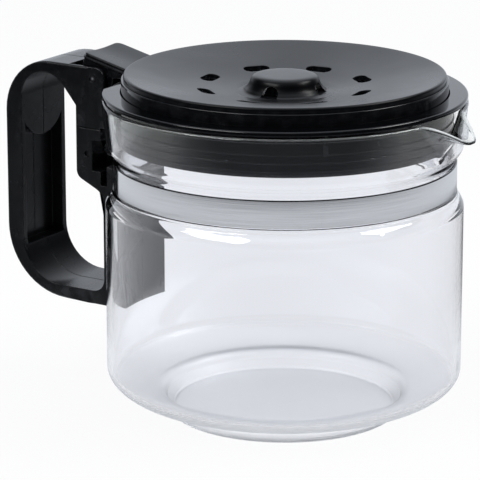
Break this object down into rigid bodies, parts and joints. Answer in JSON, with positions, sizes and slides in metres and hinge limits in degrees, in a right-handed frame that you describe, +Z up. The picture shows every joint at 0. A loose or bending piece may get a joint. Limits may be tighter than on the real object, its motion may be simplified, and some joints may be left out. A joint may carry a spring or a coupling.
{
  "type": "coffee server carafe",
  "caption": "Glass coffee jug with a pouring lip, a steel neck band, a black closed-loop handle and a hinged black lid with a screw-adjustable, vented cap.",
  "frame": {"origin": "middle of the flat base, where the jug stands on a hot plate", "axes": "+Z up along the jug's axis, +X towards the pouring lip, the handle towards -X"},
  "size_m": [0.2082, 0.1424, 0.1362],
  "materials": {
    "clear_glass": "clear blown glass",
    "polished_steel": "polished",
    "screw_steel": "satin",
    "black_handle": "glossy black",
    "black_lid": "glossy black",
    "seal_rubber": "matte"
  },
  "bodies": {
    "jug": {"glass_jug": "clear_glass", "neck_band": "polished_steel", "clamp_screw": "screw_steel", "clamp_nut": "screw_steel", "clamp_washers": "screw_steel", "handle_shell_right": "black_handle", "handle_shell_left": "black_handle", "shell_pin": "screw_steel", "hinge_pin": "screw_steel"},
    "lid": {"lid_collar": "black_lid", "thumb_plate": "black_lid"},
    "seal": {"cap_seal_ring": "seal_rubber"},
    "cap": {"cap_barrel": "black_lid", "cap_dish": "black_lid"}
  },
  "joints": [
    {"name": "lid_hinge", "type": "hinge", "parent": "jug", "child": "lid", "pos_m": [-0.0811, 0, 0.1262], "axis": [0, -1, 0], "range_deg": [0, 78]},
    {"name": "cap_rise", "type": "slide", "parent": "lid", "child": "seal", "axis": [0, 0, 1], "range_m": [-0.0045, 0.0032]},
    {"name": "cap_turn", "type": "hinge", "parent": "seal", "child": "cap", "pos_m": [0, 0, 0.125], "axis": [0, 0, 1], "range_deg": [-50, 35]}
  ],
  "couplings": [
    {"joint": "cap_rise", "follows": "cap_turn", "m_per_rad": 0.005093}
  ]
}
